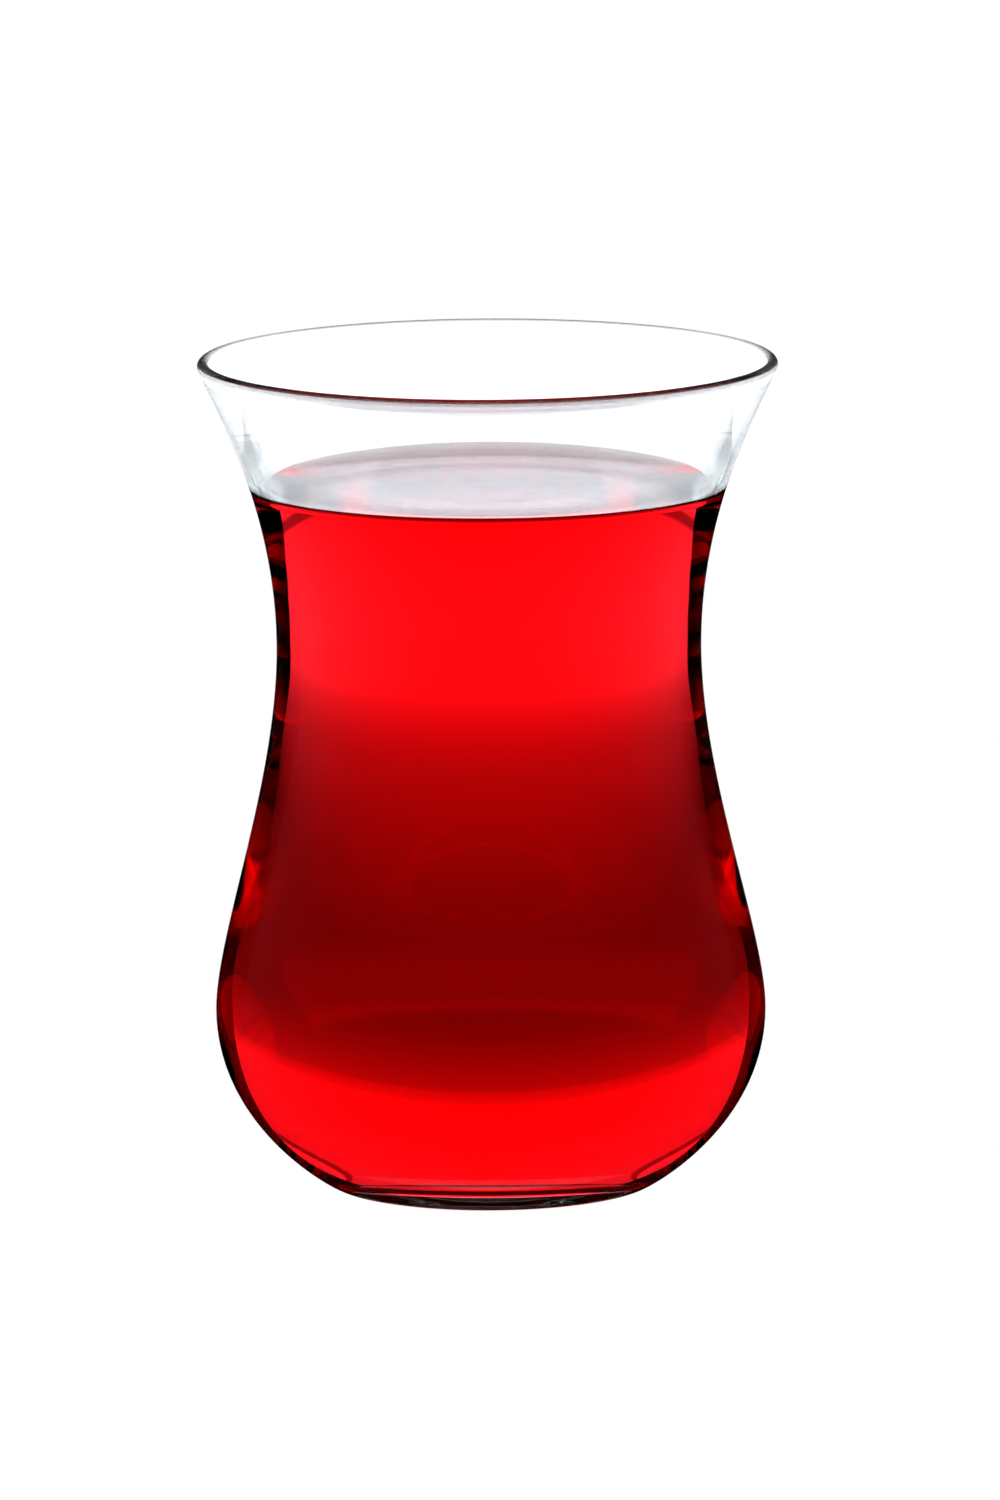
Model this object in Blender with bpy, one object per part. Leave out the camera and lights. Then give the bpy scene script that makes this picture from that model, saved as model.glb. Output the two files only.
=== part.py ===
"""Turkish tea glass: a small clear glass with a round belly, narrow waist and flared rim, holding tea.

Both pieces are turned on one upright axis. Metres, +Z up. The origin is the middle of the foot, on the
surface that the glass stands on. Run with blender --background --python part.py.
"""
import math

import bmesh
import bpy
from mathutils import Vector
from mathutils.geometry import interpolate_bezier

# Outline of the glass: radius and height of each station that the curves run through
GLASS_HEIGHT = 0.0840
FOOT_RADIUS = 0.0164
BELLY_RADIUS = 0.0278
BELLY_HEIGHT = 0.0177
WAIST_RADIUS = 0.0214
WAIST_HEIGHT = 0.0548
RIM_RADIUS = 0.0292

# How far each station's tangent reaches, which sets how full the curves are
FOOT_REACH = 0.0003
BELLY_REACH_DOWN = 0.0116
BELLY_REACH_UP = 0.0075
WAIST_REACH_DOWN = 0.0138
WAIST_REACH_UP = 0.0119
RIM_REACH = 0.0067
RIM_FLARE = 0.51            # outward run for each unit of rise, where the wall meets the lip

# Thickness of the glass
LIP_RADIUS = 0.00062
WAIST_WALL = 0.0017
BELLY_WALL = 0.0019
FLOOR_THICKNESS = 0.0035
FLOOR_RADIUS = 0.0130       # the floor is flat this far out, and then curves up into the heel
FLOOR_REACH = 0.0060
HEEL_REACH = 0.0095

# The foot stands on a flat ring round a shallow hollow
HOLLOW_RADIUS = 0.0125
HOLLOW_DEPTH = 0.0006

# Tea
TEA_LEVEL = 0.0706
TEA_CLEARANCE = 0.0003      # gap between the tea and the glass, so that the two solids stay apart

# Fineness of the meshes
SEGMENTS = 48
CURVE_POINTS = 10
HEEL_POINTS = 12
LIP_POINTS = 9
HOLLOW_POINTS = 4
MERGE_DISTANCE = 0.000001
SHARP_ANGLE = math.radians(35)


def clear_scene():
    for obj in list(bpy.data.objects):
        bpy.data.objects.remove(obj, do_unlink=True)


def curve(start, start_handle, end_handle, end, count):
    """Points (radius, height) on a cubic curve, from start to end."""
    knots = [Vector((radius, height)) for radius, height in (start, start_handle, end_handle, end)]
    return interpolate_bezier(*knots, count)


def lip_centre():
    return Vector((RIM_RADIUS - LIP_RADIUS, GLASS_HEIGHT - LIP_RADIUS))


def lip_point(angle):
    """Point on the round lip, at an angle from straight out."""
    return lip_centre() + LIP_RADIUS * Vector((math.cos(angle), math.sin(angle)))


def rim_angle():
    """Tilt of the outer wall's normal below level, where the wall meets the lip."""
    return -math.atan(RIM_FLARE)


def bowl_stretch():
    """Outer side from the foot up to the belly."""
    return curve((FOOT_RADIUS, 0), (FOOT_RADIUS + FOOT_REACH, 0),
                 (BELLY_RADIUS, BELLY_HEIGHT - BELLY_REACH_DOWN), (BELLY_RADIUS, BELLY_HEIGHT), CURVE_POINTS)


def waist_stretch():
    """Outer side from the belly in to the waist."""
    return curve((BELLY_RADIUS, BELLY_HEIGHT), (BELLY_RADIUS, BELLY_HEIGHT + BELLY_REACH_UP),
                 (WAIST_RADIUS, WAIST_HEIGHT - WAIST_REACH_DOWN), (WAIST_RADIUS, WAIST_HEIGHT), CURVE_POINTS)


def flare_stretch():
    """Outer side from the waist out to the lip."""
    rim = lip_point(rim_angle())
    return curve((WAIST_RADIUS, WAIST_HEIGHT), (WAIST_RADIUS, WAIST_HEIGHT + WAIST_REACH_UP),
                 (rim.x - RIM_FLARE * RIM_REACH, rim.y - RIM_REACH), rim, CURVE_POINTS)


def moved_inward(points, first_wall, last_wall, power):
    """Moves an upward run of points in, square to itself, by a wall that goes from first to last."""
    moved = []
    last = len(points) - 1
    for index, point in enumerate(points):
        along = points[min(index + 1, last)] - points[max(index - 1, 0)]
        inward = Vector((-along.y, along.x)).normalized()
        wall = first_wall + (last_wall - first_wall) * (index / last) ** power
        moved.append(point + wall * inward)
    return moved


def inside(clearance):
    """Inner face of the glass from the middle of the floor up to the lip, set in by a clearance."""
    radius = BELLY_RADIUS - BELLY_WALL - clearance
    floor = FLOOR_THICKNESS + clearance
    heel = curve((FLOOR_RADIUS, floor), (FLOOR_RADIUS + FLOOR_REACH, floor),
                 (radius, BELLY_HEIGHT - HEEL_REACH), (radius, BELLY_HEIGHT), HEEL_POINTS)
    waist = moved_inward(waist_stretch(), BELLY_WALL + clearance, WAIST_WALL + clearance, 1)
    flare = moved_inward(flare_stretch(), WAIST_WALL + clearance, 2 * LIP_RADIUS + clearance, 3)
    return [Vector((0, floor))] + heel + waist[1:] + flare[1:]


def foot():
    """Underside from the edge of the foot in to the middle of the hollow."""
    sphere = (HOLLOW_RADIUS ** 2 + HOLLOW_DEPTH ** 2) / (2 * HOLLOW_DEPTH)
    radii = [HOLLOW_RADIUS * (1 - step / HOLLOW_POINTS) for step in range(HOLLOW_POINTS + 1)]
    centre = HOLLOW_DEPTH - sphere
    return [Vector((radius, centre + math.sqrt(sphere ** 2 - radius ** 2))) for radius in radii]


def glass_profile():
    """Half section of the glass: up the inside, over the lip, down the outside and in under the foot."""
    inner_angle = math.pi + rim_angle()
    turn = (rim_angle() - inner_angle) / (LIP_POINTS - 1)
    angles = [inner_angle + turn * step for step in range(LIP_POINTS)]
    outside = bowl_stretch() + waist_stretch()[1:] + flare_stretch()[1:]
    return inside(0)[:-1] + [lip_point(angle) for angle in angles] + outside[-2::-1] + foot()


def tea_profile():
    """Half section of the tea: from the middle of the surface out to the glass, then down to the floor."""
    wall = inside(TEA_CLEARANCE)
    wet = [point for point in wall if point.y < TEA_LEVEL]
    below = wet[-1]
    above = wall[len(wet)]
    edge = below.lerp(above, (TEA_LEVEL - below.y) / (above.y - below.y))
    return [Vector((0, TEA_LEVEL)), edge] + wet[::-1]


def turned(name, profile, material):
    """One closed solid, made by turning a half section that starts and ends on the axis."""
    shape = bmesh.new()
    points = [shape.verts.new((point.x, 0, point.y)) for point in profile]
    edges = [shape.edges.new(pair) for pair in zip(points, points[1:])]
    bmesh.ops.spin(shape, geom=points + edges, axis=(0, 0, 1), cent=(0, 0, 0),
                   steps=SEGMENTS, angle=math.tau, use_merge=True)
    bmesh.ops.remove_doubles(shape, verts=shape.verts, dist=MERGE_DISTANCE)
    bmesh.ops.recalc_face_normals(shape, faces=shape.faces)
    mesh = bpy.data.meshes.new(name)
    shape.to_mesh(mesh)
    shape.free()
    mesh.shade_smooth()
    mesh.set_sharp_from_angle(angle=SHARP_ANGLE)
    mesh.materials.append(material)
    obj = bpy.data.objects.new(name, mesh)
    bpy.context.collection.objects.link(obj)
    return obj


def clear_material(name, colour, roughness, refraction):
    """A see-through material of one colour."""
    material = bpy.data.materials.new(name)
    material.use_nodes = True
    shader = material.node_tree.nodes["Principled BSDF"]
    shader.inputs["Base Color"].default_value = (*colour, 1)
    shader.inputs["Metallic"].default_value = 0
    shader.inputs["Roughness"].default_value = roughness
    shader.inputs["IOR"].default_value = refraction
    shader.inputs["Transmission Weight"].default_value = 1
    return material


def build():
    clear_scene()
    glass = clear_material("clear_glass", (0.95, 0.97, 0.96), 0.02, 1.5)
    tea = clear_material("black_tea", (0.42, 0.008, 0.006), 0.02, 1.333)
    turned("glass", glass_profile(), glass)
    turned("tea", tea_profile(), tea)


build()
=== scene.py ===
import math

import bpy
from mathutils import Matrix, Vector
from mathutils.geometry import interpolate_bezier


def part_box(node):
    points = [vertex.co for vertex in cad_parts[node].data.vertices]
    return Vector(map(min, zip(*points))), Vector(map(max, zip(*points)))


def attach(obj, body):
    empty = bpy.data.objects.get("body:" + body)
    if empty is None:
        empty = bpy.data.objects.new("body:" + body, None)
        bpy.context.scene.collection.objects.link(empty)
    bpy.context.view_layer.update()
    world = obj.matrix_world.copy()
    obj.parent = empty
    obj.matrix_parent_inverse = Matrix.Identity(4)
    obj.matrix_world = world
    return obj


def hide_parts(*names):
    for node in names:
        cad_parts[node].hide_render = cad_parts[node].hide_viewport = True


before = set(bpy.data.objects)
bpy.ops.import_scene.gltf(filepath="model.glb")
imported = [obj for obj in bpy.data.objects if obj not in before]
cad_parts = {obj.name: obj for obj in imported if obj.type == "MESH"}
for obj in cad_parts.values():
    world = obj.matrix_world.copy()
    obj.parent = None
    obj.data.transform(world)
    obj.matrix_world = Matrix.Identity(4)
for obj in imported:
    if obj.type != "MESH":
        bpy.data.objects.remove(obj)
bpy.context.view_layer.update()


# Clear glass
# A small tulip glass of colourless soda-lime glass: small foot, round belly, narrow waist, flared mouth.
# It is blown and turned in a mould and its lip is melted round, so every section across it is a circle.
# Its shape is a half section of cubic curves, turned about the upright axis. Sizes are in metres.
glass_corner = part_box("glass")[1]
RIM_RADIUS = glass_corner[0]
GLASS_HEIGHT = glass_corner[2]
FOOT_RADIUS = 0.0164
FOOT_REACH = 0.0003
BELLY_RADIUS = 0.0278
BELLY_HEIGHT = 0.0177
BELLY_REACH_DOWN = 0.0116
BELLY_REACH_UP = 0.0075
WAIST_RADIUS = 0.0214
WAIST_HEIGHT = 0.0548
WAIST_REACH_DOWN = 0.0138
WAIST_REACH_UP = 0.0119
RIM_REACH = 0.0067
RIM_FLARE = 0.51             # outward run for each unit of rise, where the wall meets the lip
LIP_RADIUS = 0.00062
WAIST_WALL = 0.0017
BELLY_WALL = 0.0019
FLOOR_THICKNESS = 0.0035
FLOOR_RADIUS = 0.0130        # the floor is flat this far out, and then curves up into the heel
FLOOR_REACH = 0.0060
HEEL_REACH = 0.0095
HOLLOW_RADIUS = 0.0125       # the shallow hollow under the foot, inside the ring that it stands on
HOLLOW_DEPTH = 0.0006
CURVE_POINTS = 36
LIP_POINTS = 17
HOLLOW_POINTS = 10


def cubic(start, start_handle, end_handle, end):
    """Points (radius, height) along one cubic curve of the section."""
    knots = [Vector((radius, height)) for radius, height in (start, start_handle, end_handle, end)]
    return interpolate_bezier(*knots, CURVE_POINTS)


def lip_point(angle):
    """Point on the round lip, at an angle from straight out."""
    centre = Vector((RIM_RADIUS - LIP_RADIUS, GLASS_HEIGHT - LIP_RADIUS))
    return centre + LIP_RADIUS * Vector((math.cos(angle), math.sin(angle)))


def set_in(points, first_wall, last_wall, power):
    """An upward run of points moved in, square to itself, by a wall that goes from first to last."""
    moved = []
    last = len(points) - 1
    for index, point in enumerate(points):
        along = points[min(index + 1, last)] - points[max(index - 1, 0)]
        inward = Vector((-along.y, along.x)).normalized()
        wall = first_wall + (last_wall - first_wall) * (index / last) ** power
        moved.append(point + wall * inward)
    return moved


lip_start = -math.atan(RIM_FLARE)
rim = lip_point(lip_start)
bowl_side = cubic((FOOT_RADIUS, 0), (FOOT_RADIUS + FOOT_REACH, 0),
                  (BELLY_RADIUS, BELLY_HEIGHT - BELLY_REACH_DOWN), (BELLY_RADIUS, BELLY_HEIGHT))
waist_side = cubic((BELLY_RADIUS, BELLY_HEIGHT), (BELLY_RADIUS, BELLY_HEIGHT + BELLY_REACH_UP),
                   (WAIST_RADIUS, WAIST_HEIGHT - WAIST_REACH_DOWN), (WAIST_RADIUS, WAIST_HEIGHT))
flare_side = cubic((WAIST_RADIUS, WAIST_HEIGHT), (WAIST_RADIUS, WAIST_HEIGHT + WAIST_REACH_UP),
                   (rim.x - RIM_FLARE * RIM_REACH, rim.y - RIM_REACH), rim)


def inner_face(reach):
    """Inner face of the glass from the middle of the floor up to the lip, moved into the wall by reach."""
    radius = BELLY_RADIUS - BELLY_WALL + reach
    floor = FLOOR_THICKNESS - reach
    heel = cubic((FLOOR_RADIUS, floor), (FLOOR_RADIUS + FLOOR_REACH, floor),
                 (radius, BELLY_HEIGHT - HEEL_REACH), (radius, BELLY_HEIGHT))
    waist = set_in(waist_side, BELLY_WALL - reach, WAIST_WALL - reach, 1)
    flare = set_in(flare_side, WAIST_WALL - reach, 2 * LIP_RADIUS - reach, 3)
    return [Vector((0, floor))] + heel + waist[1:] + flare[1:]


def lip_arc():
    """The round lip, from the inner face over to the outer side."""
    first = math.pi + lip_start
    turn = (lip_start - first) / (LIP_POINTS - 1)
    return [lip_point(first + turn * step) for step in range(LIP_POINTS)]


def hollow():
    """The shallow dome under the foot, from its edge in to the axis."""
    sphere = (HOLLOW_RADIUS ** 2 + HOLLOW_DEPTH ** 2) / (2 * HOLLOW_DEPTH)
    centre = HOLLOW_DEPTH - sphere
    radii = [HOLLOW_RADIUS * (1 - step / HOLLOW_POINTS) for step in range(HOLLOW_POINTS + 1)]
    return [Vector((radius, centre + math.sqrt(sphere ** 2 - radius ** 2))) for radius in radii]


def to_linear(code):
    """Linear red, green and blue of an sRGB colour written as hex."""
    parts = [int(code[place:place + 2], 16) / 255 for place in (0, 2, 4)]
    return [part / 12.92 if part <= 0.04045 else ((part + 0.055) / 1.055) ** 2.4 for part in parts]


def add_node(tree, kind, settings=None, links=None):
    """Adds a node, with its settings (inputs by name or number, or properties) and its incoming links."""
    node = tree.nodes.new(kind)
    for name, value in (settings or {}).items():
        if isinstance(name, int) or name in node.inputs:
            node.inputs[name].default_value = value
        else:
            setattr(node, name, value)
    for name, output in (links or {}).items():
        tree.links.new(output, node.inputs[name])
    return node


def set_stops(ramp, stops):
    """Gives a colour ramp its stops (place from 0 to 1, linear colour)."""
    for index, (place, colour) in enumerate(stops):
        element = ramp.elements[index] if index < 2 else ramp.elements.new(1)
        element.position = place
        element.color = (*colour, 1)


def turning_tree():
    """Nodes that turn a half section, drawn as an open line, once round the upright axis.

    The section's points say which of them are wetted, and a face between two such points becomes wetted.
    """
    tree = bpy.data.node_groups.new("turning", "GeometryNodeTree")
    for name, kind in (("Section", "NodeSocketGeometry"), ("Segments", "NodeSocketInt"),
                       ("Spindle Radius", "NodeSocketFloat"), ("Seam Distance", "NodeSocketFloat"),
                       ("Finish", "NodeSocketMaterial")):
        tree.interface.new_socket(name, in_out="INPUT", socket_type=kind)
    tree.interface.new_socket("Turned Piece", in_out="OUTPUT", socket_type="NodeSocketGeometry")
    given = add_node(tree, "NodeGroupInput").outputs
    line = add_node(tree, "GeometryNodeMeshToCurve", links={"Mesh": given["Section"]})
    spindle = add_node(tree, "GeometryNodeCurvePrimitiveCircle",
                       links={"Resolution": given["Segments"], "Radius": given["Spindle Radius"]})
    swept = add_node(tree, "GeometryNodeCurveToMesh",
                     links={"Curve": spindle.outputs["Curve"], "Profile Curve": line.outputs["Curve"]})
    closed = add_node(tree, "GeometryNodeMergeByDistance",
                      links={"Geometry": swept.outputs["Mesh"], "Distance": given["Seam Distance"]})
    wetted = add_node(tree, "GeometryNodeInputNamedAttribute", {"data_type": "FLOAT", "Name": "wetted"})
    marked = add_node(tree, "GeometryNodeStoreNamedAttribute",
                      {"data_type": "FLOAT", "domain": "FACE", "Name": "wetted"},
                      {"Geometry": closed.outputs["Geometry"], "Value": wetted.outputs["Attribute"]})
    real = add_node(tree, "GeometryNodeRealizeInstances", links={"Geometry": marked.outputs["Geometry"]})
    finished = add_node(tree, "GeometryNodeSetMaterial",
                        links={"Geometry": real.outputs["Geometry"], "Material": given["Finish"]})
    output = add_node(tree, "NodeGroupOutput")
    tree.links.new(finished.outputs["Geometry"], output.inputs["Turned Piece"])
    return tree


TURNING = turning_tree()
SEGMENTS = 288
SPINDLE_RADIUS = 0.010       # circle that the section is swept round; the section is drawn that much nearer
SEAM_DISTANCE = 0.000002
SHARP_ANGLE = math.radians(25)


def turned_piece(name, section, first_wet, last_wet, finish):
    """A closed mesh at the origin, turned from a section that runs from the axis out, down and back to it.

    The wall between the section's points first_wet and last_wet is where glass and tea touch.
    """
    line = bpy.data.meshes.new(name + "_section")
    points = [(point.x - SPINDLE_RADIUS, -point.y, 0) for point in section]
    line.from_pydata(points, [(index, index + 1) for index in range(len(points) - 1)], [])
    wetted = line.attributes.new("wetted", "FLOAT", "POINT")
    for index in range(first_wet, last_wet + 1):
        wetted.data[index].value = 1
    piece = bpy.data.objects.new(name, line)
    bpy.context.scene.collection.objects.link(piece)
    lathe = piece.modifiers.new("turning", "NODES")
    lathe.node_group = TURNING
    given = {item.name: item.identifier for item in TURNING.interface.items_tree if item.in_out == "INPUT"}
    lathe[given["Segments"]] = SEGMENTS
    lathe[given["Spindle Radius"]] = SPINDLE_RADIUS
    lathe[given["Seam Distance"]] = SEAM_DISTANCE
    lathe[given["Finish"]] = finish
    evaluated = piece.evaluated_get(bpy.context.evaluated_depsgraph_get())
    mesh = bpy.data.meshes.new_from_object(evaluated)
    mesh.name = name
    piece.modifiers.clear()
    piece.data = mesh
    bpy.data.meshes.remove(line)
    mesh.shade_smooth()
    mesh.set_sharp_from_angle(angle=SHARP_ANGLE)
    return piece


WETTED_FROM = 0.90           # a face counts as wetted where its mark is above this
WETTED_TO = 0.95


def clear_finish(name, refraction, wetted_refraction, mirror, strength, colour, bending):
    """A clear polished body that takes a share of each colour of the light for each metre of its depth.

    Where glass and tea touch, one of the two faces bends the light for both, and the other lets it by.
    Bending is a list of stops (height, share) that say how much of the light a face bends there, grain by
    grain. The rest goes straight on.
    """
    finish = bpy.data.materials.new(name)
    finish.use_nodes = True
    tree = finish.node_tree
    tree.nodes.clear()
    wetted = add_node(tree, "ShaderNodeAttribute", {"attribute_name": "wetted"})
    bend = add_node(tree, "ShaderNodeMapRange",
                    {"From Min": WETTED_FROM, "From Max": WETTED_TO,
                     "To Min": refraction, "To Max": wetted_refraction},
                    {"Value": wetted.outputs["Fac"]})
    place = add_node(tree, "ShaderNodeTexCoord")
    height = add_node(tree, "ShaderNodeSeparateXYZ", links={"Vector": place.outputs["Object"]})
    top = bending[-1][0]
    level = add_node(tree, "ShaderNodeMath", {"operation": "DIVIDE", 1: top}, {0: height.outputs["Z"]})
    share = add_node(tree, "ShaderNodeValToRGB", links={"Fac": level.outputs["Value"]})
    set_stops(share.color_ramp, [(stop / top, (amount,) * 3) for stop, amount in bending])
    grain = add_node(tree, "ShaderNodeTexWhiteNoise", links={"Vector": place.outputs["Object"]})
    bent = add_node(tree, "ShaderNodeMath", {"operation": "LESS_THAN"},
                    {0: grain.outputs["Value"], 1: share.outputs["Color"]})
    power = add_node(tree, "ShaderNodeMath", {"operation": "SUBTRACT", 1: 1}, {0: bend.outputs["Result"]})
    index_used = add_node(tree, "ShaderNodeMath", {"operation": "MULTIPLY_ADD", 2: 1},
                          {0: power.outputs["Value"], 1: bent.outputs["Value"]})
    surface = add_node(tree, "ShaderNodeBsdfPrincipled",
                       {"Base Color": (1, 1, 1, 1), "Roughness": 0, "IOR": refraction,
                        "Specular Tint": (mirror, mirror, mirror, 1), "Transmission Weight": 1},
                       {"IOR": index_used.outputs["Value"]})
    inside = add_node(tree, "ShaderNodeVolumeAbsorption", {"Color": (*colour, 1), "Density": strength})
    add_node(tree, "ShaderNodeOutputMaterial",
             links={"Surface": surface.outputs["BSDF"], "Volume": inside.outputs["Volume"]})
    return finish


# Colourless soda-lime glass, fire polished: sharp, with a faint grey green where the light runs along it.
# Below the tea's edge and in the lip it bends all of the light. Between them it lets some of it go
# straight on, so that the outline of the empty wall is pale grey.
GLASS_INDEX = 1.5
TEA_INDEX = 1.333
GLASS_STRENGTH = 9
GLASS_COLOUR = to_linear("B4D6C8")
GLASS_BENDING = ((0, 1), (0.0712, 1), (0.0719, 0.62), (0.0739, 0.66), (0.0757, 0.72), (0.0796, 0.84),
                 (0.0826, 0.84), (0.0829, 0.40), (0.0831, 0.40), (0.0835, 1), (0.0840, 1))
TEA_LEVEL = 0.0706
CLIMB_HEIGHT = 0.0009        # the tea climbs the wall this far above its level
inner_side = inner_face(0)
outer_side = bowl_side + waist_side[1:] + flare_side[1:]
wet_line = TEA_LEVEL + CLIMB_HEIGHT
wet_side = [point for point in inner_side if point.y < wet_line]
dry_side = inner_side[len(wet_side):-1]
wet_edge = wet_side[-1].lerp(dry_side[0], (wet_line - wet_side[-1].y) / (dry_side[0].y - wet_side[-1].y))
glass_section = wet_side + [wet_edge] + dry_side + lip_arc() + outer_side[-2::-1] + hollow()
glass = turned_piece("tea_glass", glass_section, 0, len(wet_side),
                     clear_finish("soda_lime_glass", GLASS_INDEX, 1, 1, GLASS_STRENGTH, GLASS_COLOUR,
                                  GLASS_BENDING))
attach(glass, "root")
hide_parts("glass")


# Black tea
# Clear strong tea poured to 13 mm below the rim. It wets the glass all over, so its sides reach just into
# the wall, and it climbs the wall by about a millimetre in a curved rim.
TEA_REACH = 0.00005
CLIMB_LENGTH = 0.0024        # how far from the wall the climb falls to a third
CLIMB_WIDTH = 0.0110         # how far from the wall it starts
CLIMB_POINTS = 24
CLIMB_REST = math.exp(-CLIMB_WIDTH / CLIMB_LENGTH)


def surface_line():
    """The tea's surface from the middle out to the wall, flat and then climbing ever more steeply."""
    line = [Vector((0, TEA_LEVEL))]
    for step in range(CLIMB_POINTS + 1):
        gap = CLIMB_WIDTH * (1 - step / CLIMB_POINTS) ** 2
        lift = CLIMB_HEIGHT * (math.exp(-gap / CLIMB_LENGTH) - gap / CLIMB_WIDTH * CLIMB_REST)
        line.append(Vector((wet_edge.x - gap, TEA_LEVEL + lift)))
    return line


# Black tea: clear, and it takes nearly all of the green and the blue, which leaves a deep red
TEA_STRENGTH = 175
TEA_COLOUR = (0.97, 0.10, 0.20)
surface = surface_line()
sunk_side = [point for point in inner_face(TEA_REACH) if point.y < wet_line - TEA_REACH]
sunk_edge = Vector((wet_edge.x + TEA_REACH, wet_line))
tea_section = surface + [sunk_edge] + sunk_side[::-1]
tea = turned_piece("black_tea", tea_section, len(surface), len(tea_section) - 1,
                   clear_finish("steeped_black_tea", TEA_INDEX, TEA_INDEX / GLASS_INDEX, 0,
                                TEA_STRENGTH, TEA_COLOUR, ((0, 1), (TEA_LEVEL, 1))))
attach(tea, "root")
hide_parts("tea")


# Light table and light wall
# A lit white sweep all round the glass, the same from every side, seen only through the glass. The table
# is dim near the foot and brighter further out, which shades the tea from bright to dark to bright. The
# wall has a dimmer stripe, then its brightest one for the tea's surface, and is dark above that. The sweep
# is a list of rings (radius, height), and the two lights are lists of stops (radius or height, strength).
SWEEP = ((0.030, -0.0005), (0.050, 0.0050), (0.066, 0.0058), (0.0826, 0.0061), (0.0966, 0.0087),
         (0.1120, 0.0121), (0.1230, 0.0129), (0.1310, 0.0137), (0.1420, 0.0167), (0.1540, 0.0181),
         (0.2000, 0.0200), (0.2500, 0.0230), (0.2500, 0.3000))
TABLE_RADIUS = 0.250
WALL_TOP = 0.300
PEAK_LIGHT = 3.5
TABLE_LIGHT = ((0, 0.5), (0.020, 0.5), (0.028, 0.05), (0.050, 0.03), (0.058, 0.235), (0.066, 0.24),
               (0.0826, 0.38), (0.0966, 0.53), (0.108, 0.65), (0.123, 0.86), (0.132, 1.02), (0.138, 1.16),
               (0.146, 1.38), (0.162, 1.5), (0.250, 1.5))
WALL_LIGHT = ((0.023, 1.7), (0.0960, 1.7), (0.0985, 0.6), (0.1038, 0.6), (0.1074, 2.9), (0.1120, 2.9),
              (0.117, 1.9), (0.122, 2.0), (0.127, 3.4), (0.152, 3.5), (0.164, 1.2), (0.175, 0.04),
              (0.300, 0.04))
LOW_TINT = to_linear("FFFFFF")
HIGH_TINT = to_linear("F3F6FF")
STAGE_SEGMENTS = 96


def lit_finish(name, stops, span, tint, along):
    """Light whose strength follows the stops (place, strength), by radius or by height."""
    finish = bpy.data.materials.new(name)
    finish.use_nodes = True
    tree = finish.node_tree
    tree.nodes.clear()
    place = add_node(tree, "ShaderNodeTexCoord")
    if along == "height":
        parts = add_node(tree, "ShaderNodeSeparateXYZ", links={"Vector": place.outputs["Object"]})
        measure = parts.outputs["Z"]
    else:
        flat = add_node(tree, "ShaderNodeVectorMath", {"operation": "MULTIPLY", 1: (1, 1, 0)},
                        {0: place.outputs["Object"]})
        length = add_node(tree, "ShaderNodeVectorMath", {"operation": "LENGTH"}, {0: flat.outputs["Vector"]})
        measure = length.outputs["Value"]
    share = add_node(tree, "ShaderNodeMath", {"operation": "DIVIDE", 1: span}, {0: measure})
    light = add_node(tree, "ShaderNodeValToRGB", links={"Fac": share.outputs["Value"]})
    set_stops(light.color_ramp,
              [(stop / span, [strength / PEAK_LIGHT * part for part in tint]) for stop, strength in stops])
    lit = add_node(tree, "ShaderNodeEmission", {"Strength": PEAK_LIGHT}, {"Color": light.outputs["Color"]})
    add_node(tree, "ShaderNodeOutputMaterial", links={"Surface": lit.outputs["Emission"]})
    return finish


def stage_piece(name, points, faces, finish, **seen_by):
    """A piece of the studio, seen only by the kinds of ray that are named."""
    mesh = bpy.data.meshes.new(name)
    mesh.from_pydata(points, [], faces)
    mesh.materials.append(finish)
    piece = bpy.data.objects.new(name, mesh)
    bpy.context.scene.collection.objects.link(piece)
    for kind in ("camera", "diffuse", "glossy", "transmission", "shadow"):
        setattr(piece, "visible_" + kind, seen_by.get(kind, False))
    return piece


def ring(radius, height):
    turns = [math.tau * step / STAGE_SEGMENTS for step in range(STAGE_SEGMENTS)]
    return [(radius * math.cos(turn), radius * math.sin(turn), height) for turn in turns]


def band_faces(count):
    """Quads between each of count rings and the next."""
    faces = []
    for low in range(count - 1):
        for step in range(STAGE_SEGMENTS):
            after = (step + 1) % STAGE_SEGMENTS
            faces.append((low * STAGE_SEGMENTS + step, low * STAGE_SEGMENTS + after,
                          (low + 1) * STAGE_SEGMENTS + after, (low + 1) * STAGE_SEGMENTS + step))
    return faces


table_rings = SWEEP[:-1]
table_points = [point for radius, height in table_rings for point in ring(radius, height)]
stage_piece("light_table", table_points, band_faces(len(table_rings)) + [tuple(range(STAGE_SEGMENTS))],
            lit_finish("light_table", TABLE_LIGHT, TABLE_RADIUS, LOW_TINT, "radius"), transmission=True)
wall_points = ring(*SWEEP[-2]) + ring(*SWEEP[-1])
stage_piece("light_wall", wall_points, band_faces(2),
            lit_finish("light_wall", WALL_LIGHT, WALL_TOP, HIGH_TINT, "height"), transmission=True)


# Black cards
# Four narrow black cards that stand edge on behind, in front of and beside the glass, close to its side.
# They take the light that would come through the outermost part of the tea, which gives the dark outline.
# Each card's outer edge is a list (height, radius).
CARD_GAP = 0.0004
CARD_REACH = ((0.0005, 0.0342), (0.0160, 0.0342), (0.0180, 0.0310), (0.0250, 0.0280), (0.0330, 0.0266),
              (0.0390, 0.0267), (0.0460, 0.0272), (0.0520, 0.0272), (0.0585, 0.0280), (0.0650, 0.0297),
              (0.0680, 0.0309), (0.0716, 0.0324), (0.0735, 0.0330))
SIDE_WIDTH = 0.0080          # least width of the two cards beside the glass
CARD_TURN = 0.00072          # the camera stands a millimetre off the axis, and sees the cards edge on


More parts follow.
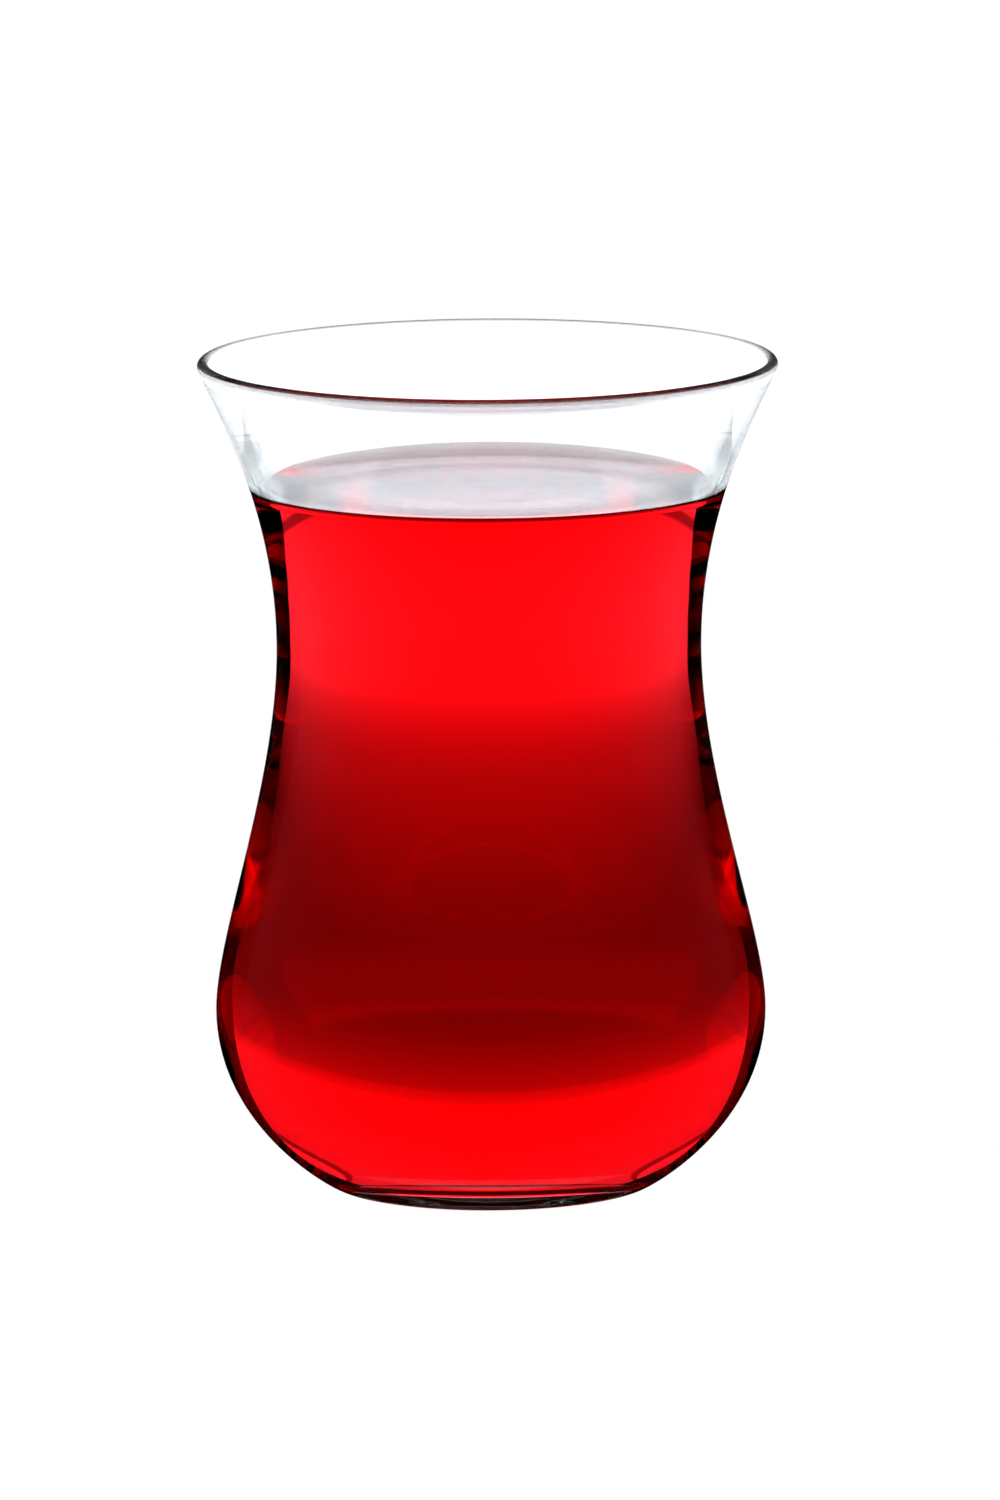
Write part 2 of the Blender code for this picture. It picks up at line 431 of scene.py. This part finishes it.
def side_radius(height):
    """Radius of the glass's outer side at a height."""
    above = next(index for index, point in enumerate(outer_side) if point.y > height)
    low, high = outer_side[above - 1], outer_side[above]
    return low.lerp(high, (height - low.y) / (high.y - low.y)).x


black = bpy.data.materials.new("black_card")
black.use_nodes = True
black.node_tree.nodes.clear()
black_light = add_node(black.node_tree, "ShaderNodeEmission", {"Strength": 0})
add_node(black.node_tree, "ShaderNodeOutputMaterial", links={"Surface": black_light.outputs["Emission"]})
for number in range(4):
    turn = math.tau * number / 4 + CARD_TURN
    card_points = []
    for height, reach in CARD_REACH:
        least = side_radius(height) + SIDE_WIDTH * (number % 2)
        for radius in (side_radius(height) + CARD_GAP, max(reach, least)):
            card_points.append((-radius * math.sin(turn), radius * math.cos(turn), height))
    card_faces = [(2 * step, 2 * step + 1, 2 * step + 3, 2 * step + 2) for step in range(len(CARD_REACH) - 1)]
    stage_piece(f"black_card_{number}", card_points, card_faces, black, transmission=True)


# White studio
# A plain white floor that runs out into a plain white surround.
FLOOR_SIZE = 6.0
FLOOR_GAP = 0.0002
white = bpy.data.materials.new("white_floor")
white.use_nodes = True
white.node_tree.nodes.clear()
white_light = add_node(white.node_tree, "ShaderNodeEmission", {"Strength": 1})
add_node(white.node_tree, "ShaderNodeOutputMaterial", links={"Surface": white_light.outputs["Emission"]})
stage_piece("floor", ring(FLOOR_SIZE, -FLOOR_GAP), [tuple(range(STAGE_SEGMENTS))], white, camera=True)

world = bpy.data.worlds.new("white_surround")
bpy.context.scene.world = world
world.use_nodes = True
world.node_tree.nodes.clear()
ray = add_node(world.node_tree, "ShaderNodeLightPath")
surround = add_node(world.node_tree, "ShaderNodeBackground", {"Color": (1, 1, 1, 1)},
                    {"Strength": ray.outputs["Is Camera Ray"]})
add_node(world.node_tree, "ShaderNodeOutputWorld", links={"Surface": surround.outputs["Background"]})


# Camera
# A long lens 1.5 m away, looking down along +Y by nearly 10 degrees, and tilted by a third of a degree.
CAMERA_DISTANCE = 1.5
CAMERA_RISE = math.radians(9.7)
CAMERA_TILT = math.radians(-0.3)
CAMERA_AIM = Vector((0.00106, 0, 0.04407))
LENS = 356.7
SENSOR = 36
CLIP_END = 20
camera_data = bpy.data.cameras.new("camera")
camera_data.lens = LENS
camera_data.sensor_width = SENSOR
camera_data.clip_end = CLIP_END
camera = bpy.data.objects.new("camera", camera_data)
bpy.context.scene.collection.objects.link(camera)
back = Vector((0, -math.cos(CAMERA_RISE), math.sin(CAMERA_RISE)))
camera.location = CAMERA_AIM + CAMERA_DISTANCE * back
camera.rotation_mode = "QUATERNION"
camera.rotation_quaternion = (-back).to_track_quat("-Z", "Y")
camera.rotation_mode = "XYZ"
camera.rotation_euler.rotate_axis("Z", CAMERA_TILT)
bpy.context.scene.camera = camera

# Light turns round inside the glass many times before it leaves
BOUNCES = 32
MIRROR_BOUNCES = 16
scene = bpy.context.scene
scene.view_settings.view_transform = "Standard"
scene.cycles.use_denoising = True
scene.cycles.max_bounces = BOUNCES
scene.cycles.transmission_bounces = BOUNCES
scene.cycles.glossy_bounces = MIRROR_BOUNCES
scene.cycles.caustics_reflective = True
scene.cycles.caustics_refractive = True
scene.cycles.blur_glossy = 0
scene.cycles.sample_clamp_indirect = 0
